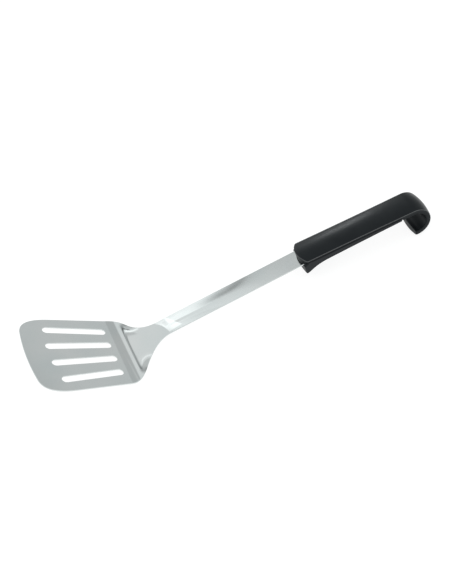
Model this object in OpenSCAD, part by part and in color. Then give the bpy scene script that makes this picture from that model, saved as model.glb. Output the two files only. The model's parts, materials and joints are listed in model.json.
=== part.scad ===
// Slotted grill turner: a stamped steel blade and shaft in a two-part moulded handle with a hanging hook.
// The turner lies as it does on a table, resting on its heel crease and on the curl of the hook.
// +X runs from the blade to the hook, +Z is up, and the XZ plane is the plane of symmetry.

/* [Blade] */
// Thickness of the steel sheet
sheet_t = 1.2; // [1:0.1:1.6]
// Half of the blade's width at its widest, close behind the front corners
blade_half_w = 43.4; // [40:0.1:46]
// How far the front edge bows forward of its corners
front_bow = 2.6; // [1:0.1:4]
// Narrowing of each side per millimetre of length
side_taper = 0.085; // [0.05:0.005:0.1]
// Width of the drain slots
slot_w = 6.8; // [5:0.1:8]

/* [Heel and neck] */
// Distance from the front edge to the start of the heel's bend
heel_x = 78; // [77:0.5:79]
// Slope of the heel behind that bend, as rise over run
heel_slope = 0.37; // [0.3:0.01:0.42]
// Distance from the front edge to the crease between heel and neck
crease_x = 89.5; // [88:0.5:91]
// Slope of the neck, as rise over run
neck_slope = 0.954; // [0.9:0.002:1]

/* [Shaft] */
// Angle between the blade and the shaft
shaft_angle = 34.25; // [30:0.25:38]
// Half of the shaft's width
shaft_half_w = 9.4; // [9:0.1:10.5]
// Distance along the shaft at which its crowned face has become flat
crown_end = 92; // [70:1:105]
// Half of the tang's width inside the handle
tang_half_w = 6.5; // [5:0.1:7]
// Distance along the shaft to the end of the tang
tang_end = 188; // [180:1:195]
// Diameter of the pins through the tang
pin_d = 3; // [2:0.5:4]

/* [Handle] */
// Distance along the shaft to the middle of the handle's front end
grip_start = 125; // [123:0.5:127]
// Distance along the shaft to the start of the hook
hook_start = 229; // [227:0.5:230]
// Half of the handle's width at the front
grip_half_w = 13; // [12:0.1:13.5]
// Half of the handle's width at the hook
hook_half_w = 13.2; // [12.5:0.1:14]
// How much narrower the handle is at its middle
grip_waist = 0.3; // [0:0.1:1]
// Height of the cap's lip above the shaft at the front
lip_front = 4; // [3.6:0.1:5]
// Height of the cap's lip above the shaft at the hook
lip_rear = -0.6; // [-1:0.05:1]
// Height of the crowned top above the lip
grip_crown = 2.2; // [1:0.1:2.6]
// Thickness of the cap at its lip
lip_t = 1.2; // [1:0.1:1.5]
// Depth of the finger guard below the shaft's face
guard_depth = 9.2; // [8:0.1:10]

/* [Hook] */
// Outer radius of the hook at its edges
hook_r = 13.5; // [12.5:0.1:14]
// Thickness of the hook's band at its edges
hook_t = 4; // [3.5:0.1:4.5]
// Angle that the hook turns through
hook_sweep = 192; // [185:1:200]

/* [Hidden] */
$fn = 48;

// The blade's front is an arc, and each corner is a curve from it to the widest place.
front_half_chord = 33;
front_r = (front_half_chord ^ 2 + front_bow ^ 2) / (2 * front_bow);
front_steps = 12;
corner_start_y = 29.5;
corner_end_x = 28;
corner_lead = 10;
corner_spread = 1.8;
corner_trail = 16;
corner_tuck = 0.4;
corner_steps = 10;

// The shoulder is a curve from the blade's side to the edge of the shaft.
shoulder_start_x = 80;
shoulder_end_x = 114.5;
shoulder_lead = 15;
shoulder_trail = 17;
shoulder_steps = 30;

// Each slot is the ends of its centreline, for one side of the blade. Its cutter passes through the sheet.
slot_through = 1;
slot_front_outer = [25.2, 30];
slot_rear_outer = [71.9, 25.1];
slot_front_inner = [22.5, 10.1];
slot_rear_inner = [71.9, 8.4];

// The shaft's frame starts where the neck's edges meet the shaft, and runs along the shaft.
shaft_origin = [113.6, 24.5];
heel_bend = 9;
crease_blend = 0.7;
bend_blend = 0.8;
blend_growth = 9;
neck_crown = 0.0138;
crown_from_x = 88;
crown_full_x = 107;
shaft_crown = neck_crown * shaft_half_w ^ 2;
function along_x(u) = shaft_origin.x + u * cos(shaft_angle);
crown_end_x = along_x(crown_end);
shaft_steps = 14;
half_columns = 6;
probe = 0.01;

// Where the shaft narrows to the tang, and where its pins are
tang_start = grip_start + 7;
tang_step = 1;
pin_places = [145, 172];
pin_floor = -3.2;
pin_top_gap = 0.3;

// The handle's front end bows, more above the ledge beside the shaft than below it.
front_curve = 4.5;
front_setback = 0.4;
front_columns = 6;
guard_curve = 1;
ledge_n = -0.6;

// The body's side view: the guard's round nose, the rise behind it, the underside and its rear end
body_inset = 0.4;
body_end = 217.5;
guard_r = 1.9;
guard_u = grip_start + front_setback + guard_r;
guard_rise_u = 145;
rise_lead = 6;
rise_drop = 0.1;
rise_trail = 6;
rise_lift = 3.2;
rise_steps = 12;
arc_step = 15;
bottom_front = -4.9;
bottom_rear = -5.3;
bottom_r = 2;

// The cap: its crown changes from the grip's to the hook's, and its underside steps down at the body's end.
cap_columns = 5;
grip_steps = 10;
hook_steps = 26;
crown_change_u = 177.5;
crown_change = 50;
underside_step = 0.1;
tip_curve = 3;
hook_crown = 1.5;
bore_stock = 0.5;
hook_bore_r = hook_r - hook_t;
lip_angle = atan((lip_front - lip_rear) / (hook_start - grip_start - front_curve));
hook_centre = [hook_start - hook_r * sin(lip_angle), lip_rear - hook_r * cos(lip_angle)];
far = 200;

// Smooth blends of two heights, and a smooth step from 0 to 1
function upper(a, b, blend) = (a + b + sqrt((a - b) ^ 2 + blend ^ 2)) / 2;
function lower(a, b, blend) = (a + b - sqrt((a - b) ^ 2 + blend ^ 2)) / 2;
function ease(t) = let (c = min(max(t, 0), 1)) c * c * (3 - 2 * c);
// A point on a cubic curve
function curve(a, b, c, d, t) =
    (1 - t) ^ 3 * a + 3 * (1 - t) ^ 2 * t * b + 3 * (1 - t) * t ^ 2 * c + t ^ 3 * d;

function side_y(x) = blade_half_w - side_taper * (x - corner_end_x);
function front_x(y) = front_r - sqrt(front_r ^ 2 - y ^ 2);

// Heights of the top face: the heel, the neck and the shaft each have their own, and they blend
function heel_z(x) =
    let (past = x - heel_x)
    past <= 0 ? 0 : past < heel_bend ? heel_slope * past ^ 2 / (2 * heel_bend)
    : heel_slope * (past - heel_bend / 2);
function neck_z(x, y) =
    heel_z(crease_x) + neck_slope * (x - crease_x)
    - neck_crown * ease((x - crown_from_x) / (crown_full_x - crown_from_x)) * y ^ 2;
function crown_left(x) = 1 - ease((x - shaft_origin.x) / (crown_end_x - shaft_origin.x));
function shaft_z(x, y) =
    shaft_origin.y + (x - shaft_origin.x) * tan(shaft_angle)
    + crown_left(x) * shaft_crown * (1 - min(1, (y / shaft_half_w) ^ 2));
function growth(x, from) = ease((x - from) / blend_growth);
function pressed_z(x, y) = upper(heel_z(x), neck_z(x, y), crease_blend * growth(x, heel_x));
function top_z(x, y) =
    x <= heel_x ? 0
    : x >= crown_end_x - probe ? shaft_z(x, y)
    : lower(pressed_z(x, y), shaft_z(x, y), bend_blend * crown_left(x) * growth(x, crease_x));
function top_normal(x, y) =
    x <= heel_x ? [0, 0, 1]
    : x >= crown_end_x - probe ? [-sin(shaft_angle), 0, cos(shaft_angle)]
    : let (
        rise_x = (top_z(x + probe, y) - top_z(x - probe, y)) / (2 * probe),
        rise_y = (top_z(x, y + probe) - top_z(x, y - probe)) / (2 * probe),
        n = [-rise_x, -rise_y, 1]
    ) n / norm(n);

// Stations along the blank, each with its distance from the front edge and its half width
stations = concat(
    [for (i = [1:front_steps]) let (y = corner_start_y * i / front_steps) [front_x(y), y]],
    [for (i = [1:corner_steps]) curve(
        [front_x(corner_start_y), corner_start_y],
        [front_x(corner_start_y) + corner_spread, corner_start_y + corner_lead],
        [corner_end_x - corner_trail, side_y(corner_end_x - corner_trail) - corner_tuck],
        [corner_end_x, side_y(corner_end_x)],
        i / corner_steps
    )],
    [[heel_x, side_y(heel_x)]],
    [for (i = [0:shoulder_steps]) curve(
        [shoulder_start_x, side_y(shoulder_start_x)],
        [shoulder_start_x + shoulder_lead, side_y(shoulder_start_x + shoulder_lead)],
        [shoulder_end_x - shoulder_trail, shaft_half_w],
        [shoulder_end_x, shaft_half_w],
        i / shoulder_steps
    )],
    [for (i = [1:shaft_steps]) [
        shoulder_end_x + (crown_end_x - shoulder_end_x) * i / shaft_steps, shaft_half_w
    ]],
    [
        [along_x(tang_start), shaft_half_w],
        [along_x(tang_start + tang_step), tang_half_w],
        [along_x(tang_end), tang_half_w]
    ]
);
columns = [for (j = [-half_columns:half_columns]) j / half_columns];
blank_top = [for (s = stations) [for (c = columns) [s.x, c * s.y, top_z(s.x, c * s.y)]]];
blank_under = [for (s = stations) [for (c = columns)
    [s.x, c * s.y, top_z(s.x, c * s.y)] - sheet_t * top_normal(s.x, c * s.y)
]];

// How the turner lies: the line under its crease and its hook is level
underside = [for (row = blank_under) for (p = row) [p.x, p.z]];
hook_world = shaft_origin + [
    hook_centre.x * cos(shaft_angle) - hook_centre.y * sin(shaft_angle),
    hook_centre.x * sin(shaft_angle) + hook_centre.y * cos(shaft_angle)
];
hook_full_r = hook_r + hook_crown;
function under_angle(p) =
    atan2(hook_world.y - p.y, hook_world.x - p.x) - asin(hook_full_r / norm(hook_world - p));
lie_angle = max([for (p = underside) under_angle(p)]);
floor_z = hook_world.y * cos(lie_angle) - hook_world.x * sin(lie_angle) - hook_full_r;
rear_x = hook_world.x * cos(lie_angle) + hook_world.y * sin(lie_angle) + hook_full_r;
middle_x = (rear_x - sheet_t * sin(lie_angle)) / 2;

module lie() {
    translate([-middle_x, 0, -floor_z])
    rotate([0, lie_angle, 0])
    children();
}

module along_shaft() {
    translate([shaft_origin.x, 0, shaft_origin.y])
    rotate([0, -shaft_angle, 0])
    children();
}

// A side view, extruded to both sides of the plane of symmetry
module across(width) {
    rotate([90, 0, 0])
    linear_extrude(width, center = true)
    children();
}

// A closed slab between two grids of points with the same rows and columns
module slab(top, under) {
    rows = len(top);
    cols = len(top[0]);
    count = rows * cols;
    points = concat([for (row = top) each row], [for (row = under) each row]);
    function at(i, j) = i * cols + j;
    function low(i, j) = count + at(i, j);
    function quad(a, b, c, d) = [[a, b, c], [a, c, d]];
    faces = concat(
        [for (i = [0:rows - 2], j = [0:cols - 2])
            each quad(at(i, j), at(i, j + 1), at(i + 1, j + 1), at(i + 1, j))],
        [for (i = [0:rows - 2], j = [0:cols - 2])
            each quad(low(i, j), low(i + 1, j), low(i + 1, j + 1), low(i, j + 1))],
        [for (j = [0:cols - 2], i = [0, rows - 1])
            each i == 0
            ? quad(at(i, j), low(i, j), low(i, j + 1), at(i, j + 1))
            : quad(at(i, j), at(i, j + 1), low(i, j + 1), low(i, j))],
        [for (i = [0:rows - 2], j = [0, cols - 1])
            each j == 0
            ? quad(at(i, j), at(i + 1, j), low(i + 1, j), low(i, j))
            : quad(at(i, j), low(i, j), low(i + 1, j), at(i + 1, j))]
    );
    polyhedron(points, faces);
}

module slot(from, to) {
    run = to - from;
    depth = sheet_t + 2 * slot_through;
    translate([from.x, from.y, -sheet_t - slot_through])
    rotate([0, 0, atan2(run.y, run.x)]) {
        cylinder(h = depth, d = slot_w);
        translate([0, -slot_w / 2, 0])
        cube([norm(run), slot_w, depth]);
        translate([norm(run), 0, 0])
        cylinder(h = depth, d = slot_w);
    }
}

module slots() {
    for (side = [0, 1])
        mirror([0, side, 0]) {
            slot(slot_front_outer, slot_rear_outer);
            slot(slot_front_inner, slot_rear_inner);
        }
}

module pins(top_gap) {
    for (u = pin_places)
        translate([u, 0, pin_floor])
        cylinder(h = seam_n(u) - top_gap - pin_floor, d = pin_d);
}

// Height of the cap's lip and of the seam under it, at a distance along the shaft
function lip_n(u) = lip_rear + (hook_start - u) * tan(lip_angle);
function seam_n(u) = lip_n(u) - lip_t;
function grip_w(u) =
    let (along = (u - grip_start) / (hook_start - grip_start))
    grip_half_w + (hook_half_w - grip_half_w) * along - grip_waist * 4 * along * (1 - along);

module blade_and_shaft() {
    color([0.72, 0.74, 0.74])
    lie()
    difference() {
        slab(blank_top, blank_under);
        slots();
        along_shaft()
        pins(0);
    }
}

// The room for the shaft's end and its tang, which run in from the front
module tang_room() {
    translate([0, 0, -sheet_t])
    linear_extrude(sheet_t)
    polygon([
        [crown_end, -shaft_half_w],
        [tang_start, -shaft_half_w],
        [tang_start + tang_step, -tang_half_w],
        [tang_end, -tang_half_w],
        [tang_end, tang_half_w],
        [tang_start + tang_step, tang_half_w],
        [tang_start, shaft_half_w],
        [crown_end, shaft_half_w]
    ]);
}

// The body's side view: seam, rear end, underside, the rise to the finger guard, and the guard
module body_side() {
    u0 = grip_start + front_setback;
    rise = [for (i = [0:rise_steps]) curve(
        [guard_rise_u, bottom_front],
        [guard_rise_u - rise_lead, bottom_front + rise_drop],
        [guard_u + rise_trail, -guard_depth + rise_lift],
        [guard_u + guard_r, -guard_depth + guard_r],
        i / rise_steps
    )];
    rear = [for (a = [0:-arc_step:-90])
        [body_end - bottom_r, bottom_rear + bottom_r] + bottom_r * [cos(a), sin(a)]];
    guard = [for (a = [-arc_step:-arc_step:arc_step - 180])
        [guard_u, guard_r - guard_depth] + guard_r * [cos(a), sin(a)]];
    polygon(concat(
        [[u0, seam_n(u0)], [body_end, seam_n(body_end)]],
        rear,
        rise,
        guard,
        [[u0, guard_r - guard_depth]]
    ));
}

// The body from above, a little inside the cap's outline. Its front end bows by the given depth.
module body_plan(bow) {
    w0 = grip_w(grip_start + front_setback) - body_inset;
    front = [for (i = [-front_columns:front_columns])
        let (c = i / front_columns)
        [grip_start + front_setback + bow * c ^ 2, w0 * c]];
    far_side = [for (i = [1:grip_steps])
        let (u = grip_start + bow + (body_end - grip_start - bow) * i / grip_steps)
        [u, grip_w(u) - body_inset]];
    near_side = [for (i = [grip_steps - 1:-1:0]) [far_side[i].x, -far_side[i].y]];
    polygon(concat(front, far_side, near_side));
}

module handle_body() {
    color([0.16, 0.17, 0.18])
    lie()
    along_shaft()
    difference() {
        intersection() {
            across(far)
            body_side();
            union() {
                translate([0, 0, ledge_n])
                linear_extrude(far)
                body_plan(front_curve);
                translate([0, 0, -far])
                linear_extrude(far + ledge_n)
                body_plan(guard_curve);
            }
        }
        tang_room();
        pins(0);
    }
}

// Rows of points along the cap: a straight grip, then the turns of the hook
function grip_row(u, depth, crown) = [for (j = [-cap_columns:cap_columns])
    let (
        c = j / cap_columns,
        bow = front_curve * c ^ 2 * (hook_start - u) / (hook_start - grip_start),
        at = u + bow
    )
    [at, c * grip_w(at), lip_n(at) - depth + crown * (1 - c ^ 2)]];
function hook_row(turn, depth, crown) = [for (j = [-cap_columns:cap_columns])
    let (
        c = j / cap_columns,
        a = 90 - lip_angle - turn + tip_curve * c ^ 2 * turn / hook_sweep,
        r = hook_r - depth + crown * (1 - c ^ 2)
    )
    [hook_centre.x + r * cos(a), c * hook_half_w, hook_centre.y + r * sin(a)]];

module handle_cap() {
    grip_us = [for (i = [0:grip_steps])
        grip_start + (body_end - grip_start) * i / grip_steps];
    turns = [for (i = [1:hook_steps]) hook_sweep * i / hook_steps];
    function crown_at(u) =
        grip_crown + (hook_crown - grip_crown) * ease((u - crown_change_u) / crown_change);
    top = concat(
        [for (u = grip_us) grip_row(u, 0, crown_at(u))],
        [for (u = [body_end + underside_step, hook_start]) grip_row(u, 0, crown_at(u))],
        [for (t = turns) hook_row(t, 0, hook_crown)]
    );
    under = concat(
        [for (u = grip_us) grip_row(u, lip_t, 0)],
        [for (u = [body_end + underside_step, hook_start]) grip_row(u, hook_t, 0)],
        [for (t = turns) hook_row(t, hook_t + bore_stock, 0)]
    );
    color([0.15, 0.16, 0.17])
    lie()
    along_shaft()
    difference() {
        slab(top, under);
        translate([hook_centre.x, 0, hook_centre.y])
        rotate([90, 0, 0])
        cylinder(h = 4 * hook_half_w, r = hook_bore_r, center = true);
    }
}

module tang_pins() {
    color([0.7, 0.7, 0.72])
    lie()
    along_shaft()
    pins(pin_top_gap);
}

blade_and_shaft();
handle_body();
handle_cap();
tang_pins();
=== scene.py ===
import json
import math

import bpy
import numpy as np
from mathutils import Euler, Matrix, Vector
from mathutils.geometry import delaunay_2d_cdt


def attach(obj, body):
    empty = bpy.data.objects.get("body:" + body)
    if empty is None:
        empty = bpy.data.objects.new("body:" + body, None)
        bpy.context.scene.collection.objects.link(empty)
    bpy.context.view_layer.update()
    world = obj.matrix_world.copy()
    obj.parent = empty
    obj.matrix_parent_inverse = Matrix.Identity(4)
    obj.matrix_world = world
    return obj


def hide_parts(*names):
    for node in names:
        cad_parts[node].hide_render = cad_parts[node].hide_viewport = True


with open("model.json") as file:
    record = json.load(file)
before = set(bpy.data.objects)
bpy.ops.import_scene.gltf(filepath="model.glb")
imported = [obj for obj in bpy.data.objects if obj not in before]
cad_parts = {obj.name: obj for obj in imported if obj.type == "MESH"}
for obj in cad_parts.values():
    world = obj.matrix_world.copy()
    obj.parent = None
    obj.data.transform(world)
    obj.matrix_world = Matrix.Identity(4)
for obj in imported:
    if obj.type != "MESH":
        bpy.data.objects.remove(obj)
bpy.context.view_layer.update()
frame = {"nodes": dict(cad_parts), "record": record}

# A slotted grill turner: a pressed steel blade and shaft in a black two-part handle with a hook.
# Lengths are millimetres in the blade's own frame: x runs back from the middle of the front edge,
# y across, and z is 0 on the blade's top face. to_row() takes a point to the row frame, in metres.

MM = 0.001

# ---------------------------------------------------------------- dimensions

SHEET_T = 1.2
BLADE_HALF_W = 43.4
FRONT_BOW = 2.6
FRONT_HALF_CHORD = 33.0
SIDE_TAPER = 0.085
CORNER_START_Y = 29.5
CORNER_END_X = 28.0
CORNER_LEAD = 10.0
CORNER_TRAIL = 16.0
CORNER_SPREAD = 1.8
CORNER_TUCK = 0.4
SLOT_W = 6.8
SLOTS = (((25.2, 30.0), (71.9, 25.1)), ((22.5, 10.1), (71.9, 8.4)))

HEEL_X = 78.0
HEEL_SLOPE = 0.37
HEEL_BEND = 9.0
CREASE_X = 89.5
CREASE_BLEND = 0.7
CREASE_DEPTH = 0.36
CREASE_FADE_Y = 27.0
CREASE_FADE = 6.0
NECK_SLOPE = 0.954
NECK_CROWN = 0.0138
CROWN_FROM_X = 88.0
CROWN_FULL_X = 107.0
SHOULDER_START_X = 80.0
SHOULDER_END_X = 114.5
SHOULDER_LEAD = 15.0
SHOULDER_TRAIL = 17.0

SHAFT_ANGLE = math.radians(34.25)
SHAFT_HALF_W = 9.4
SHAFT_X = 113.6
SHAFT_Z = 24.5
SHAFT_CROWN = NECK_CROWN * SHAFT_HALF_W**2
BEND_BLEND = 0.8
BLEND_GROWTH = 9.0
CROWN_END = 92.0
TANG_START = 132.0
TANG_STEP = 1.0
TANG_HALF_W = 6.5
TANG_END = 188.0

GRIP_START = 125.0
HOOK_START = 229.0
GRIP_HALF_W = 13.0
HOOK_HALF_W = 13.2
GRIP_WAIST = 0.3
FRONT_CURVE = 4.5
LIP_FRONT = 4.0
LIP_REAR = -0.6
LIP_T = 1.2
GRIP_CROWN = 2.2
HOOK_CROWN = 1.5
HOOK_R = 13.5
HOOK_T = 4.0
HOOK_SWEEP = math.radians(192)
TIP_CURVE = math.radians(3)
LIP_ANGLE = math.atan((LIP_FRONT - LIP_REAR) / (HOOK_START - GRIP_START - FRONT_CURVE))

BODY_INSET = 0.6
BODY_SETBACK = 0.4
BODY_END = 217.5
GUARD_CURVE = 1.0
GUARD_DEPTH = 9.2
GUARD_NOSE_LENGTH = 1.9
GUARD_NOSE_RISE = 1.6
GUARD_NOSE_ROUND = 0.7
GUARD_BACK_LEAD_U = 130.2
GUARD_BACK_TRAIL = (134.0, -5.3)
GUARD_BACK_END_U = 146.0
LEDGE_N = -0.6
LEDGE_BLEND = 0.1
FRONT_FADE = 12.0
BODY_FRONT_N = -4.9
BODY_REAR_N = -5.3

STEEL_EDGE_R = 0.42
LIP_EDGE_R = 0.45
BODY_EDGE_R = 0.6
CAP_CORNER_R = 1.2
BODY_CORNER_R = 1.1

# ---------------------------------------------------------------- frames

MOUNTS = {m["name"]: m for m in frame["record"]["mounts"]}
UNDERSIDE = MOUNTS["blade_underside"]
UNDERSIDE_AT = Vector((50.0, 0.0, -SHEET_T))
LIE_ANGLE = math.atan2(-UNDERSIDE["axis"][0], -UNDERSIDE["axis"][2])
LIE = Euler((0, LIE_ANGLE, 0)).to_matrix()


def to_row(point):
    """A point in the blade's frame, in millimetres, as a point in the row frame, in metres."""
    return Vector(UNDERSIDE["pos_m"]) + LIE @ (Vector(point) - UNDERSIDE_AT) * MM


def from_shaft(point):
    """A point in the shaft's frame (u along it, y across, n out of its face) in the blade's frame."""
    u, y, n = point
    x = SHAFT_X + u * math.cos(SHAFT_ANGLE) - n * math.sin(SHAFT_ANGLE)
    z = SHAFT_Z + u * math.sin(SHAFT_ANGLE) + n * math.cos(SHAFT_ANGLE)
    return (x, y, z)


def along_x(u):
    return SHAFT_X + u * math.cos(SHAFT_ANGLE)


CROWN_END_X = along_x(CROWN_END)

# ---------------------------------------------------------------- curves and heights


def ease(t):
    t = min(max(t, 0.0), 1.0)
    return t * t * (3 - 2 * t)


def upper(a, b, blend):
    return (a + b + math.sqrt((a - b) ** 2 + blend**2)) / 2


def lower(a, b, blend):
    return (a + b - math.sqrt((a - b) ** 2 + blend**2)) / 2


def curve(a, b, c, d, steps):
    """Points on a cubic curve, without its first one."""
    made = []
    for i in range(1, steps + 1):
        t = i / steps
        weights = ((1 - t) ** 3, 3 * (1 - t) ** 2 * t, 3 * (1 - t) * t * t, t**3)
        made.append(tuple(sum(w * p[k] for w, p in zip(weights, (a, b, c, d))) for k in (0, 1)))
    return made


def line(a, b, step):
    """Points from a to b about a step apart, without the first one."""
    count = max(1, round(math.dist(a, b) / step))
    return [tuple(p + (q - p) * i / count for p, q in zip(a, b)) for i in range(1, count + 1)]


def heel_z(x):
    past = x - HEEL_X
    if past <= 0:
        return 0.0
    if past < HEEL_BEND:
        return HEEL_SLOPE * past**2 / (2 * HEEL_BEND)
    return HEEL_SLOPE * (past - HEEL_BEND / 2)


def neck_z(x, y):
    crown = NECK_CROWN * ease((x - CROWN_FROM_X) / (CROWN_FULL_X - CROWN_FROM_X))
    return heel_z(CREASE_X) + NECK_SLOPE * (x - CREASE_X) - crown * y * y


def crown_left(x):
    return 1 - ease((x - SHAFT_X) / (CROWN_END_X - SHAFT_X))


def shaft_z(x, y):
    crown = crown_left(x) * SHAFT_CROWN * (1 - min(1.0, (y / SHAFT_HALF_W) ** 2))
    return SHAFT_Z + (x - SHAFT_X) * math.tan(SHAFT_ANGLE) + crown


def steel_z(x, y):
    """Height of the steel's top face: the heel, the neck and the shaft blend into each other."""
    if x <= HEEL_X:
        return 0.0
    if x >= CROWN_END_X:
        return shaft_z(x, y)
    crease_blend = CREASE_BLEND * ease((x - HEEL_X) / BLEND_GROWTH)
    bend_blend = BEND_BLEND * crown_left(x) * ease((x - CREASE_X) / BLEND_GROWTH)
    pressed = upper(heel_z(x), neck_z(x, y), crease_blend)
    return lower(pressed, shaft_z(x, y), bend_blend)


PROBE = 0.02


def facing(height, x, y):
    """The upward normal of a height field."""
    rise_x = (height(x + PROBE, y) - height(x - PROBE, y)) / (2 * PROBE)
    rise_y = (height(x, y + PROBE) - height(x, y - PROBE)) / (2 * PROBE)
    return Vector((-rise_x, -rise_y, 1)).normalized()


def steel_top(x, y):
    return Vector((x, y, steel_z(x, y)))


def steel_under(x, y):
    return steel_top(x, y) - SHEET_T * facing(steel_z, x, y)


# ---------------------------------------------------------------- mesh work


def away(loop):
    """For each point of a loop, the unit direction in plan away from the material on its left."""
    made = []
    for i, p in enumerate(loop):
        before, after = loop[i - 1], loop[(i + 1) % len(loop)]
        along = Vector((after[0] - before[0], after[1] - before[1])).normalized()
        made.append(Vector((along.y, -along.x)))
    return made


def inside(points, loop):
    """Which of the points lie inside a closed loop."""
    x, y = points[:, 0], points[:, 1]
    found = np.zeros(len(points), bool)
    for (ax, ay), (bx, by) in zip(loop, loop[1:] + loop[:1]):
        if ay != by:
            crosses = (ay > y) != (by > y)
            found ^= crosses & (x < ax + (y - ay) * (bx - ax) / (by - ay))
    return found


def clear_of(points, loop, gap):
    """Which of the points are further than a gap from every corner of a loop."""
    corners = np.array(loop)
    far = np.full(len(points), np.inf)
    for corner in corners:
        far = np.minimum(far, np.hypot(*(points - corner).T))
    return far > gap


def fill(loops, spots, gap):
    """Triangles over the first loop less the others, through extra points: the points and the
    triangles' corners."""
    keep = inside(spots, loops[0]) & clear_of(spots, loops[0], gap)
    for hole in loops[1:]:
        keep &= ~inside(spots, hole) & clear_of(spots, hole, gap)
    points, edges = [], []
    for loop in loops:
        first = len(points)
        points += [Vector(p) for p in loop]
        edges += [(first + i, first + (i + 1) % len(loop)) for i in range(len(loop))]
    points += [Vector(p) for p in spots[keep]]
    made, _, faces, source, _, _ = delaunay_2d_cdt(points, edges, [], 1, 1e-6)
    ids = [s[0] for s in source]
    centres = np.array([sum((made[v] for v in f), Vector((0, 0))) / len(f) for f in faces])
    shown = np.ones(len(faces), bool)
    for hole in loops[1:]:
        shown &= ~inside(centres, hole)
    return points, [tuple(ids[v] for v in f) for f, s in zip(faces, shown) if s]


def normal_of(surface, x, y):
    """The normal, upward in plan, of a surface given as a function of x and y."""
    along = surface(x + PROBE, y) - surface(x - PROBE, y)
    return along.cross(surface(x, y + PROBE) - surface(x, y - PROBE)).normalized()


ROUND_STEPS = 4


def plate(name, loops, spots, gap, top, under, edge_r, walls, place, mark):
    """A closed plate between two surfaces, with rounded rims round its outline and holes.
    loops are the outline (anticlockwise) and the holes (clockwise), spots the points inside, and gap
    is how far these stay from the loops. walls are the heights down the side as shares of its straight
    part, and place takes a point to the row frame. mark is a function of x, y and the depth below the
    top, and the material darkens where it is near 1, as painted shade."""
    turn = [math.pi / 2 * i / ROUND_STEPS for i in range(ROUND_STEPS + 1)]
    rounding = [(edge_r * (1 - math.sin(a)), edge_r * (1 - math.cos(a)), a) for a in turn]
    rings = [("top", inset, depth, a) for inset, depth, a in rounding]
    rings += [("wall", 0, share, math.pi / 2) for share in walls]
    rings += [("under", inset, depth, math.pi - a) for inset, depth, a in reversed(rounding)]
    verts, normals, faces, edge, shade_marks = [], [], [], [], []

    def add(x, y, kind, depth, angle, out):
        high, low = top(x, y), under(x, y)
        thick = (high - low).length
        straight = thick - 2 * edge_r
        down = {"top": depth, "wall": edge_r + depth * straight, "under": thick - depth}[kind]
        up = (high - low).normalized()
        point = high - up * down
        side = Vector((out.x, out.y, 0))
        side = (side - up * side.dot(up)).normalized() if side.length else side
        face = up if kind == "wall" else normal_of(top if kind == "top" else under, x, y)
        verts.append(point)
        normals.append((face * math.cos(angle) + side * math.sin(angle)).normalized())
        # Paler rims: edge wear and a painted highlight along the lip.
        edge.append(math.sin(2 * angle) if kind == "top" and side.length else 0.0)
        shade_marks.append(mark(x, y, down))
        return len(verts) - 1

    bands = []
    for loop in loops:
        outs = away(loop)
        bands.append([[add(p[0] - out.x * inset, p[1] - out.y * inset, kind, depth, angle, out)
                       for p, out in zip(loop, outs)] for kind, inset, depth, angle in rings])
    for band in bands:
        count = len(band[0])
        for high, low in zip(band, band[1:]):
            for i in range(count):
                j = (i + 1) % count
                faces.append((high[i], low[i], low[j], high[j]))
    plan = [[(p[0] - o.x * edge_r, p[1] - o.y * edge_r) for p, o in zip(loop, away(loop))]
            for loop in loops]
    points, triangles = fill(plan, spots, gap)
    for ring, kind, angle in ((0, "top", 0.0), (-1, "under", math.pi)):
        ids = [v for band in bands for v in band[ring]]
        for p in points[len(ids):]:
            ids.append(add(p.x, p.y, kind, 0.0, angle, Vector((0, 0))))
        for t in triangles:
            face = tuple(ids[v] for v in t)
            faces.append(face if kind == "top" else face[::-1])
    return mesh_piece(name, verts, faces, normals, {"rim_wear_and_highlight": edge, "painted_shade": shade_marks}, place)


NORMAL_STEP = 0.05


def mesh_piece(name, verts, faces, normals, values, place):
    """The piece as an object in the row frame, with values at its points for the material."""
    mesh = bpy.data.meshes.new(name)
    mesh.from_pydata([place(v) for v in verts], [], faces)
    mesh.validate()
    mesh.polygons.foreach_set("use_smooth", [True] * len(mesh.polygons))
    for label, at_points in values.items():
        mesh.attributes.new(label, "FLOAT", "POINT").data.foreach_set("value", at_points)
    turned = [(place(v + n * NORMAL_STEP) - place(v)).normalized() for v, n in zip(verts, normals)]
    mesh.normals_split_custom_set_from_vertices(turned)
    piece = bpy.data.objects.new(name, mesh)
    bpy.context.scene.collection.objects.link(piece)
    return piece


def both_sides(half):
    """A closed anticlockwise loop from its half, which runs along y above 0 from axis to axis."""
    mirrored = [(x, -y) for x, y in half[1:-1]]
    return [*mirrored, *reversed(half)]


def stretch(start, end, step):
    return list(np.arange(start, end, step))


def grid(xs, half_w, step):
    """Points in rows across, at the given places along."""
    made = []
    for x in xs:
        count = max(1, round(half_w(x) / step))
        made += [(x, half_w(x) * j / count) for j in range(-count, count + 1)]
    return np.array(made)


# ---------------------------------------------------------------- the steel

FRONT_STEPS = 28
CORNER_STEPS = 36
SHOULDER_STEPS = 64
SLOT_END_STEPS = 16
SIDE_STEP = 1.5

# The rows of points across the steel: where each spacing starts along it, and the spacing.
STEEL_ROWS = ((4.0, 4.0), (HEEL_X, 0.8), (108.0, 0.5), (121.0, 2.0), (CROWN_END_X, 5.0))
STEEL_ACROSS = 1.7
STEEL_GAP = 0.9

# Closer rows follow the crease, this far to each side of it.
CREASE_REACH = 2.5
CREASE_ROW_STEP = 0.25
CREASE_ACROSS = 1.2
HALVINGS = 24


def side_y(x):
    return BLADE_HALF_W - SIDE_TAPER * (x - CORNER_END_X)


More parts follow.
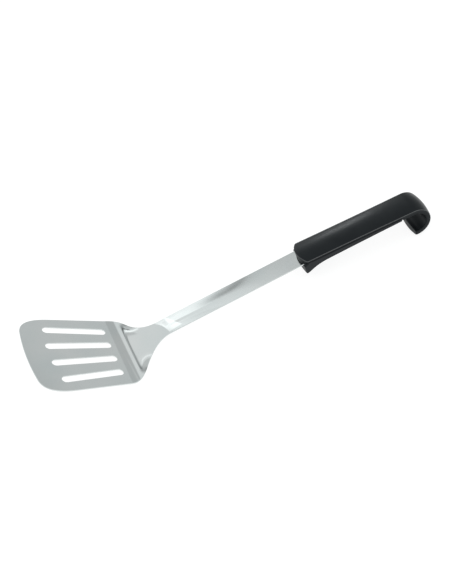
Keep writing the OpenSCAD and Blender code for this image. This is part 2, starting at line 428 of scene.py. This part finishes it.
def blank_half():
    """Half of the blank's outline, from the middle of the front edge to the end of the tang."""
    front_r = (FRONT_HALF_CHORD**2 + FRONT_BOW**2) / (2 * FRONT_BOW)

    def front(y):
        return (front_r - math.sqrt(front_r**2 - y**2), y)

    half = [front(CORNER_START_Y * i / FRONT_STEPS) for i in range(FRONT_STEPS + 1)]
    lead_end = (half[-1][0] + CORNER_SPREAD, CORNER_START_Y + CORNER_LEAD)
    trail_x = CORNER_END_X - CORNER_TRAIL
    trail = (trail_x, side_y(trail_x) - CORNER_TUCK)
    corner_end = (CORNER_END_X, side_y(CORNER_END_X))
    half += curve(half[-1], lead_end, trail, corner_end, CORNER_STEPS)
    half += line(half[-1], (SHOULDER_START_X, side_y(SHOULDER_START_X)), SIDE_STEP)
    lead_x = SHOULDER_START_X + SHOULDER_LEAD
    half += curve(
        half[-1],
        (lead_x, side_y(lead_x)),
        (SHOULDER_END_X - SHOULDER_TRAIL, SHAFT_HALF_W),
        (SHOULDER_END_X, SHAFT_HALF_W),
        SHOULDER_STEPS,
    )
    half += line(half[-1], (along_x(TANG_START), SHAFT_HALF_W), SIDE_STEP)
    half += [(along_x(TANG_START + TANG_STEP), TANG_HALF_W)]
    half += line(half[-1], (along_x(TANG_END), TANG_HALF_W), 2 * SIDE_STEP)
    return half + line(half[-1], (along_x(TANG_END), 0), 2)


def slot_loop(front, rear, side):
    """A slot's clockwise outline on one side of the blade."""
    a, b = Vector((front[0], side * front[1])), Vector((rear[0], side * rear[1]))
    heading = math.atan2(b.y - a.y, b.x - a.x)
    radius = SLOT_W / 2
    loop = []
    for centre, start in ((b, heading + math.pi / 2), (a, heading - math.pi / 2)):
        for i in range(SLOT_END_STEPS + 1):
            turn = start - math.pi * i / SLOT_END_STEPS
            loop.append((centre.x + radius * math.cos(turn), centre.y + radius * math.sin(turn)))
    return loop


def crease_shade_mark(x, y, down):
    """Painted shade in the crease: 1 along the line where heel and neck meet, fading across it and
    before its two ends.
    """
    if down > SHEET_T / 2:
        return 0.0
    off = (heel_z(x) - neck_z(x, y)) / CREASE_DEPTH
    return math.exp(-off * off) * (1 - ease((abs(y) - CREASE_FADE_Y) / CREASE_FADE))


def crease_at(y):
    """How far back heel and neck meet, at a distance across."""
    low, high = CREASE_X - 1, CROWN_FULL_X
    for _ in range(HALVINGS):
        middle = (low + high) / 2
        if neck_z(middle, y) < heel_z(middle):
            low = middle
        else:
            high = middle
    return low


def make_steel():
    half = blank_half()
    outline_x, outline_y = [p[0] for p in half], [p[1] for p in half]
    loops = [both_sides(half)]
    loops += [slot_loop(a, b, side) for a, b in SLOTS for side in (-1, 1)]

    ends = [start for start, _ in STEEL_ROWS[1:]] + [along_x(TANG_END)]
    rows = [x for (start, step), end in zip(STEEL_ROWS, ends) for x in stretch(start, end, step)]
    spots = grid(rows, lambda x: float(np.interp(x, outline_x[1:], outline_y[1:])), STEEL_ACROSS)
    spots = [p for p in spots if abs(p[0] - crease_at(p[1])) > CREASE_REACH]
    for past in stretch(-CREASE_REACH, CREASE_REACH, CREASE_ROW_STEP):
        for y in stretch(-BLADE_HALF_W, BLADE_HALF_W, CREASE_ACROSS):
            spots.append((crease_at(y) + past, y))
    return plate("blade_and_shaft_steel", loops, np.array(spots), STEEL_GAP, steel_top, steel_under,
                 STEEL_EDGE_R, (), to_row, crease_shade_mark)


# ---------------------------------------------------------------- the handle

END_STEPS = 14
END_CORNER_STEPS = 8
NOSE_STEPS = 10
BACK_STEPS = 24

# The crown eases from the grip's to the hook's, starting this far before the body's end.
CROWN_EASE_LEAD = 40.0
CROWN_EASE_LENGTH = 50.0

# Painted shade: how the plastic's gloss dulls inside the cap, and on the body in the shadow of
# the cap's lip.
INNER_DULLING = 0.5
INNER_FADE = 0.5
LIP_SHADOW_DEPTH = 1.0
LIP_SHADOW_FADE = 1.8

CAP_GRIP_STEP = 3.0
CAP_HOOK_STEP = 1.0
CAP_ACROSS = 1.2
CAP_GAP = 0.5
THICKENING = 0.02
GUARD_ROW_STEP = 0.8
GUARD_ROWS_END = 147.0
BODY_ROW_STEP = 4.0
BODY_ACROSS = 1.5
BODY_GAP = 0.6
BODY_WALL_STEPS = 10


def lip_n(u):
    return LIP_REAR + (HOOK_START - u) * math.tan(LIP_ANGLE)


def grip_w(u):
    along = (u - GRIP_START) / (HOOK_START - GRIP_START)
    return GRIP_HALF_W + (HOOK_HALF_W - GRIP_HALF_W) * along - GRIP_WAIST * 4 * along * (1 - along)


def end_half(end_x, inward, width, bow, corner_r):
    """Half of one end of a long outline, from its middle to the side: a bowed end and a round corner."""
    straight = width(end_x) - corner_r
    half = []
    for i in range(END_STEPS + 1):
        y = straight * i / END_STEPS
        half.append((end_x + inward * bow * (y / width(end_x)) ** 2, y))
    slope = 2 * bow * straight / width(end_x) ** 2
    turn = math.atan2(1, slope)
    radius = corner_r / (1 - math.cos(turn))
    handle = 4 / 3 * math.tan(turn / 4) * radius
    side_x = half[-1][0] + inward * radius * math.sin(turn)
    lead = (
        half[-1][0] + inward * handle * math.cos(turn),
        straight + handle * math.sin(turn),
    )
    trail = (side_x - inward * handle, width(side_x))
    return half + curve(half[-1], lead, trail, (side_x, width(side_x)), END_CORNER_STEPS)


def rounded_half(front_x, rear_x, width, front_bow, rear_bow, corner_r):
    """Half of a long outline with bowed ends, whose corners are rounded, in steps of about 1 mm."""
    front = end_half(front_x, 1, width, front_bow, corner_r)
    rear = end_half(rear_x, -1, width, rear_bow, corner_r)
    start, stop = front[-1][0], rear[-1][0]
    count = round(stop - start)
    xs = [start + (stop - start) * i / count for i in range(1, count)]
    return front + [(x, width(x)) for x in xs] + rear[::-1]


def make_cap():
    """The cap, made straight and then bent: s runs along the lip line and round the hook."""
    hook_s = HOOK_START - GRIP_START
    end_s = hook_s + HOOK_R * HOOK_SWEEP
    rear_bow = HOOK_R * TIP_CURVE
    thick_s = BODY_END - GRIP_START
    centre_u = HOOK_START - HOOK_R * math.sin(LIP_ANGLE)
    centre_n = LIP_REAR - HOOK_R * math.cos(LIP_ANGLE)

    def width(s):
        return grip_w(min(s, hook_s) + GRIP_START)

    def crown(s):
        eased = ease((s - (thick_s - CROWN_EASE_LEAD)) / CROWN_EASE_LENGTH)
        return GRIP_CROWN + (HOOK_CROWN - GRIP_CROWN) * eased

    def top(s, y):
        return Vector((s, y, crown(s) * (1 - min(1.0, (y / width(s)) ** 2))))

    def under(s, y):
        return Vector((s, y, -LIP_T if s < thick_s else -HOOK_T))

    def bend(p):
        if p.x <= hook_s:
            u = GRIP_START + p.x
            return to_row(from_shaft((u, p.y, lip_n(u) + p.z)))
        turn = math.pi / 2 - LIP_ANGLE - (p.x - hook_s) / HOOK_R
        reach = HOOK_R + p.z
        u, n = centre_u + reach * math.cos(turn), centre_n + reach * math.sin(turn)
        return to_row(from_shaft((u, p.y, n)))

    # Painted shade: the cap's gloss dulls on its inner faces, inside the hook too.
    def inner_shade_mark(_s, _y, down):
        return INNER_DULLING * ease((down - LIP_EDGE_R) / INNER_FADE)

    half = rounded_half(0.0, end_s, width, FRONT_CURVE, rear_bow, CAP_CORNER_R)
    rows = stretch(1, thick_s, CAP_GRIP_STEP) + [thick_s - THICKENING, thick_s + THICKENING]
    rows += stretch(thick_s + 1, end_s, CAP_HOOK_STEP)
    spots = grid(rows, width, CAP_ACROSS)
    return plate("handle_cap_moulding", [both_sides(half)], spots, CAP_GAP, top, under,
                 LIP_EDGE_R, (), bend, inner_shade_mark)


def make_body():
    """The body under the cap, with the finger guard at its front."""
    front_u = GRIP_START + BODY_SETBACK
    nose = curve(
        (front_u, -GUARD_DEPTH + GUARD_NOSE_RISE),
        (front_u, -GUARD_DEPTH + GUARD_NOSE_ROUND),
        (front_u + GUARD_NOSE_ROUND, -GUARD_DEPTH),
        (front_u + GUARD_NOSE_LENGTH, -GUARD_DEPTH),
        NOSE_STEPS,
    )
    back_end = (GUARD_BACK_END_U, BODY_FRONT_N)
    back = curve(nose[-1], (GUARD_BACK_LEAD_U, -GUARD_DEPTH), GUARD_BACK_TRAIL, back_end, BACK_STEPS)
    line_u = [p[0] for p in nose + back] + [BODY_END]
    line_n = [p[1] for p in nose + back] + [BODY_REAR_N]

    def width(u):
        return grip_w(u) - BODY_INSET

    def top(u, y):
        return Vector((u, y, lip_n(u) - LIP_T))

    def under(u, y):
        return Vector((u, y, float(np.interp(u, line_u, line_n))))

    def place(p):
        over = ease((p.z - LEDGE_N) / LEDGE_BLEND + 0.5)
        near_front = 1 - ease((p.x - front_u - GUARD_CURVE) / FRONT_FADE)
        shift = (FRONT_CURVE - GUARD_CURVE) * (p.y / width(p.x)) ** 2 * over * near_front
        return to_row(from_shaft((p.x + shift, p.y, p.z)))

    # Painted shade: the body's gloss dulls in a band just under the cap's lip.
    def lip_shadow_mark(_u, _y, down):
        return 1 - ease((down - LIP_SHADOW_DEPTH) / LIP_SHADOW_FADE)

    half = rounded_half(front_u, BODY_END, width, GUARD_CURVE, 0.0, BODY_CORNER_R)
    rows = stretch(front_u + 1, GUARD_ROWS_END, GUARD_ROW_STEP)
    rows += stretch(GUARD_ROWS_END, BODY_END, BODY_ROW_STEP)
    spots = grid(rows, width, BODY_ACROSS)
    walls = [i / BODY_WALL_STEPS for i in range(1, BODY_WALL_STEPS)]
    return plate("handle_body_moulding", [both_sides(half)], spots, BODY_GAP, top, under,
                 BODY_EDGE_R, walls, place, lip_shadow_mark)


# ---------------------------------------------------------------- materials

STEEL_PALE = (0.75, 0.765, 0.76)
STEEL_DARK = (0.685, 0.725, 0.725)
PIN_PALE = (0.66, 0.67, 0.69)
PIN_DARK = (0.58, 0.59, 0.61)
BLACK = (0.004, 0.0052, 0.0064)
BLACK_PALE = (0.0065, 0.008, 0.0092)
FLOOR_PALE = (0.26, 0.26, 0.26)
FLOOR_DARK = (0.24, 0.24, 0.24)

# What painted shade leaves of the steel's colour and of the plastic's gloss, and how much paler
# the rims are, as edge wear and as a painted highlight along the lip.
PAINTED_SHADE_LEFT_OF_STEEL = 0.42
PAINTED_SHADE_LEFT_OF_GLOSS = 0.1
SCUFF_AND_HIGHLIGHT = 0.13


def node(tree, kind, **values):
    """A shader node with its own settings by name, and its inputs by name too."""
    made = tree.nodes.new("ShaderNode" + kind)
    for name, value in values.items():
        if hasattr(made, name):
            setattr(made, name, value)
        else:
            made.inputs[name.replace("_", " ")].default_value = value
    return made


def new_material(name):
    material = bpy.data.materials.new(name)
    material.use_nodes = True
    tree = material.node_tree
    return material, tree, tree.nodes["Principled BSDF"]


def noise(tree, size, detail, rate_x=1, turn=0.0):
    """Noise over the object with grains of a size in millimetres. Along x it changes at a rate of its
    own, so a low rate draws it out into lines, which turn about y."""
    place = node(tree, "TexCoord")
    mapping = node(tree, "Mapping")
    mapping.inputs["Scale"].default_value = [rate / size / MM for rate in (rate_x, 1, 1)]
    mapping.inputs["Rotation"].default_value = (0, turn, 0)
    texture = node(tree, "TexNoise")
    texture.inputs["Scale"].default_value = 1.0
    texture.inputs["Detail"].default_value = detail
    texture.inputs["Roughness"].default_value = 0.55
    tree.links.new(place.outputs["Object"], mapping.inputs["Vector"])
    tree.links.new(mapping.outputs["Vector"], texture.inputs["Vector"])
    return texture.outputs["Fac"]


def ranged(tree, value, low, high, from_low=0.3, from_high=0.7):
    """A value mapped to a range."""
    made = node(tree, "MapRange")
    made.inputs["From Min"].default_value = from_low
    made.inputs["From Max"].default_value = from_high
    made.inputs["To Min"].default_value = low
    made.inputs["To Max"].default_value = high
    tree.links.new(value, made.inputs["Value"])
    return made.outputs["Result"]


def mixed(tree, share, a, b):
    """A colour between a, a colour or another node's output, and the colour b."""
    made = node(tree, "Mix", data_type="RGBA")
    if isinstance(a, tuple):
        made.inputs["A"].default_value = (*a, 1)
    else:
        tree.links.new(a, made.inputs["A"])
    made.inputs["B"].default_value = (*b, 1)
    tree.links.new(share, made.inputs["Factor"])
    return made.outputs["Result"]


def bumped(tree, height, depth, strength):
    """A normal bumped by a height, over a depth in millimetres."""
    made = node(tree, "Bump")
    made.inputs["Distance"].default_value = depth * MM
    made.inputs["Strength"].default_value = strength
    tree.links.new(height, made.inputs["Height"])
    return made.outputs["Normal"]


def product(tree, a, b):
    """Another node's output times a number or another output."""
    made = node(tree, "Math", operation="MULTIPLY")
    tree.links.new(a, made.inputs[0])
    if isinstance(b, float):
        made.inputs[1].default_value = b
    else:
        tree.links.new(b, made.inputs[1])
    return made.outputs[0]


def point_value(tree, label):
    """A value that the mesh holds at its points."""
    return node(tree, "Attribute", attribute_name=label).outputs["Fac"]


def steel_material(name, pale, dark, rough):
    """Satin steel with cloudy colour, smears, fine lines drawn along the shaft, and painted shade where
    the mesh marks it, in the crease between heel and neck.
    """
    material, tree, shader = new_material(name)
    shader.inputs["Metallic"].default_value = 1.0
    clouds = noise(tree, 40, detail=3)
    lines = noise(tree, 0.35, detail=3, rate_x=0.015, turn=LIE_ANGLE - SHAFT_ANGLE)
    smears = noise(tree, 7, detail=5, rate_x=0.35)
    clean = mixed(tree, ranged(tree, clouds, 0, 1), dark, pale)
    painted_shade_colour = tuple(c * PAINTED_SHADE_LEFT_OF_STEEL for c in dark)
    # Painted shade: the colour darkens where the mesh marks the crease.
    tree.links.new(mixed(tree, point_value(tree, "painted_shade"), clean, painted_shade_colour), shader.inputs["Base Color"])
    tree.links.new(ranged(tree, smears, rough * 0.85, rough * 1.25), shader.inputs["Roughness"])
    tree.links.new(bumped(tree, lines, 0.02, 0.07), shader.inputs["Normal"])
    return material


def plastic_material(name, dark, pale, rough, shine):
    """Fine-grained moulded plastic, in patches, with rims paler as wear and as a painted highlight,
    and its gloss dulled as painted shade where the mesh marks it.
    """
    material, tree, shader = new_material(name)
    shader.inputs["IOR"].default_value = 1.46
    shader.inputs["Specular Tint"].default_value = (0.88, 0.96, 1, 1)
    # Painted shade: the gloss dulls where the mesh marks it.
    glossy = ranged(tree, point_value(tree, "painted_shade"), shine, shine * PAINTED_SHADE_LEFT_OF_GLOSS, 0, 1)
    tree.links.new(glossy, shader.inputs["Specular IOR Level"])
    grain = noise(tree, 0.55, detail=2)
    patches = noise(tree, 14, detail=4)
    speckle = ranged(tree, noise(tree, 0.9, detail=4), 0.55, 1, 0.4, 0.6)
    # The rims are paler, in specks: edge wear and a painted highlight along the lip.
    wear_and_highlight = product(tree, point_value(tree, "rim_wear_and_highlight"), speckle)
    base = mixed(tree, ranged(tree, patches, 0, 1), dark, pale)
    scuffed_highlight_tint = tuple(c + SCUFF_AND_HIGHLIGHT for c in pale)
    tree.links.new(mixed(tree, wear_and_highlight, base, scuffed_highlight_tint), shader.inputs["Base Color"])
    tree.links.new(ranged(tree, patches, rough * 0.9, rough * 1.15), shader.inputs["Roughness"])
    tree.links.new(bumped(tree, grain, 0.05, 0.35), shader.inputs["Normal"])
    return material


def give(piece, material):
    piece.data.materials.clear()
    piece.data.materials.append(material)


# ---------------------------------------------------------------- studio


def make_floor():
    bpy.ops.mesh.primitive_plane_add(size=30)
    floor = bpy.context.object
    floor.name = "floor"
    material, tree, shader = new_material("pale_floor")
    shader.inputs["Roughness"].default_value = 0.9
    shader.inputs["Specular IOR Level"].default_value = 0.1
    shader.inputs["Emission Color"].default_value = (1, 1, 1, 1)
    shader.inputs["Emission Strength"].default_value = 0.85
    tint = mixed(tree, ranged(tree, noise(tree, 300, detail=4), 0, 1), FLOOR_DARK, FLOOR_PALE)
    tree.links.new(tint, shader.inputs["Base Color"])
    give(floor, material)


def softbox(name, place, aim, size, power):
    """A rectangular light at a place, facing a point."""
    light = bpy.data.lights.new(name, "AREA")
    light.shape = "RECTANGLE"
    light.size, light.size_y = size
    light.energy = power
    box = bpy.data.objects.new(name, light)
    box.location = place
    box.rotation_mode = "QUATERNION"
    box.rotation_quaternion = (aim - place).to_track_quat("-Z", "Y")
    bpy.context.scene.collection.objects.link(box)
    return box


def shine_only_on(light, piece):
    """Link a light to one piece, and keep the light itself out of view."""
    receivers = bpy.data.collections.new(light.name + "_on")
    receivers.objects.link(piece)
    light.light_linking.receiver_collection = receivers
    light.visible_camera = False


# The overhead light, whose own shape isn't seen in the gloss.
OVERHEAD_AT = Vector((0, -0.3, 2.0))
OVERHEAD_SIZE = (3.0, 3.0)
OVERHEAD_POWER = 8.5

# A small light on the cap alone, for a sheen along its far side: the spot that it faces, and the
# light's direction and distance from there.
SHEEN_U = 180.0
SHEEN_Y = 6.2
SHEEN_WAY = Vector((0.11, 0.87, 0.49))
SHEEN_DISTANCE = 0.3
SHEEN_SIZE = (0.05, 0.035)
SHEEN_POWER = 0.085

# A small light on the steel alone and close to the bend, so that the shaft is light there and the
# neck beside it isn't: the bend, and the light's place and the point that it faces, from there.
BEND = (115.0, 2.0, 25.5)
GLOW_OFFSET = Vector((-0.0042, 0.0355, 0.0345))
GLOW_AIM_OFFSET = Vector((0.0055, 0, 0))
GLOW_SIZE = (0.0176, 0.056)
GLOW_POWER = 0.00027
GLOW_SPREAD = math.radians(76)


def light_overhead():
    overhead = softbox("overhead", OVERHEAD_AT, Vector(), OVERHEAD_SIZE, OVERHEAD_POWER)
    overhead.visible_glossy = False


def light_cap(cap):
    spot = to_row(from_shaft((SHEEN_U, SHEEN_Y, lip_n(SHEEN_U) + GRIP_CROWN)))
    sheen_at = spot + SHEEN_DISTANCE * SHEEN_WAY
    shine_only_on(softbox("sheen", sheen_at, spot, SHEEN_SIZE, SHEEN_POWER), cap)


def light_bend(steel):
    bend = to_row(BEND)
    glow = softbox("bend_glow", bend + GLOW_OFFSET, bend + GLOW_AIM_OFFSET, GLOW_SIZE, GLOW_POWER)
    glow.data.spread = GLOW_SPREAD
    shine_only_on(glow, steel)


def between(tree, value, low, high, soft):
    """1 where the value lies between two limits and 0 outside them, with soft edges."""
    rise = node(tree, "MapRange", interpolation_type="SMOOTHSTEP")
    rise.inputs["From Min"].default_value = low - soft
    rise.inputs["From Max"].default_value = low + soft
    fall = node(tree, "MapRange", interpolation_type="SMOOTHSTEP")
    fall.inputs["From Min"].default_value = high - soft
    fall.inputs["From Max"].default_value = high + soft
    fall.inputs["To Min"].default_value = 1
    fall.inputs["To Max"].default_value = 0
    tree.links.new(value, rise.inputs["Value"])
    tree.links.new(value, fall.inputs["Value"])
    return product(tree, rise.outputs["Result"], fall.outputs["Result"])


WORLD_TINT = (0.97, 1.0, 1.0, 1)
WORLD_BASE = 0.645
BEHIND = (0.1, 2.0)
SOFT_IN_Y = 0.15

# Each panel's limits in x, y and z as parts of a direction, its edges' softness, and what it adds.
WORLD_PANELS = (
    (-2.0, -0.18, *BEHIND, 0.1, 2.0, 0.02, 0.18),
    (-0.18, 0.09, *BEHIND, 0.1, 0.53, 0.02, 0.18),
    (-0.08, 0.003, *BEHIND, 0.53, 0.728, 0.02, 0.65),
    (-0.18, 0.045, *BEHIND, 0.726, 2.0, 0.012, 0.2),
    (-0.05, 0.003, *BEHIND, 0.728, 0.83, 0.02, 0.1),
    (-0.07, 0.003, *BEHIND, 0.3, 0.53, 0.02, 0.4),
    (-0.1, -0.04, *BEHIND, 0.8, 2.0, 0.03, 0.25),
    (0.007, 0.06, *BEHIND, 0.54, 0.709, 0.008, -0.33),
    (0.09, 0.26, *BEHIND, 0.6, 0.78, 0.025, 0.19),
    (0.27, 0.63, *BEHIND, 0.415, 0.7, 0.02, -0.1),
    (-2.0, 2.0, -1.2, 0.1, 0.5, 0.85, 0.1, 0.5),
)


def make_world():
    """Soft light from all round, with a few lighter and darker panels in it."""
    world = bpy.data.worlds.new("studio")
    bpy.context.scene.world = world
    world.use_nodes = True
    tree = world.node_tree
    background = tree.nodes["Background"]
    direction = node(tree, "SeparateXYZ")
    tree.links.new(node(tree, "TexCoord").outputs["Generated"], direction.inputs[0])
    total = node(tree, "Value")
    total.outputs[0].default_value = WORLD_BASE
    total = total.outputs[0]
    for x_low, x_high, y_low, y_high, z_low, z_high, soft, gain in WORLD_PANELS:
        wide = between(tree, direction.outputs["X"], x_low, x_high, soft)
        deep = between(tree, direction.outputs["Y"], y_low, y_high, SOFT_IN_Y)
        high = between(tree, direction.outputs["Z"], z_low, z_high, soft / 2)
        panel = product(tree, product(tree, wide, high), product(tree, deep, gain))
        add = node(tree, "Math", operation="ADD")
        tree.links.new(total, add.inputs[0])
        tree.links.new(panel, add.inputs[1])
        total = add.outputs[0]
    tree.links.new(total, background.inputs["Strength"])
    background.inputs["Color"].default_value = WORLD_TINT


# The camera's place and axes in the blade's frame, and its focal length against the frame's height.
CAMERA_AT = (-291.1, -688.1, 618.6)
CAMERA_RIGHT = Vector((0.89069, -0.36618, 0.26941))
CAMERA_UP = Vector((0.01908, 0.62222, 0.78261))
FOCAL_IN_HEIGHTS = 1200 / 584
SENSOR = 36


def make_camera():
    data = bpy.data.cameras.new("camera")
    data.sensor_width = SENSOR
    data.lens = FOCAL_IN_HEIGHTS * SENSOR
    camera = bpy.data.objects.new("camera", data)
    axes = LIE @ Matrix((CAMERA_RIGHT, CAMERA_UP, CAMERA_RIGHT.cross(CAMERA_UP))).transposed()
    camera.matrix_world = Matrix.Translation(to_row(CAMERA_AT)) @ axes.to_4x4()
    bpy.context.scene.collection.objects.link(camera)
    bpy.context.scene.camera = camera


# ---------------------------------------------------------------- the scene

make_camera()
make_floor()
make_world()
light_overhead()

steel = make_steel()
give(steel, steel_material("satin_steel", STEEL_PALE, STEEL_DARK, 0.08))
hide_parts("blade_and_shaft")
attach(steel, "root")

cap = make_cap()
give(cap, plastic_material("black_cap", BLACK, BLACK_PALE, 0.32, 0.28))
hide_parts("handle_cap")
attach(cap, "root")

body = make_body()
give(body, plastic_material("black_body", BLACK, BLACK_PALE, 0.45, 0.35))
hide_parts("handle_body")
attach(body, "root")

pins = frame["nodes"]["tang_pins"]
give(pins, steel_material("drawn_pin_steel", PIN_PALE, PIN_DARK, 0.28))

light_cap(cap)
light_bend(steel)

bpy.context.scene.view_settings.view_transform = "Standard"
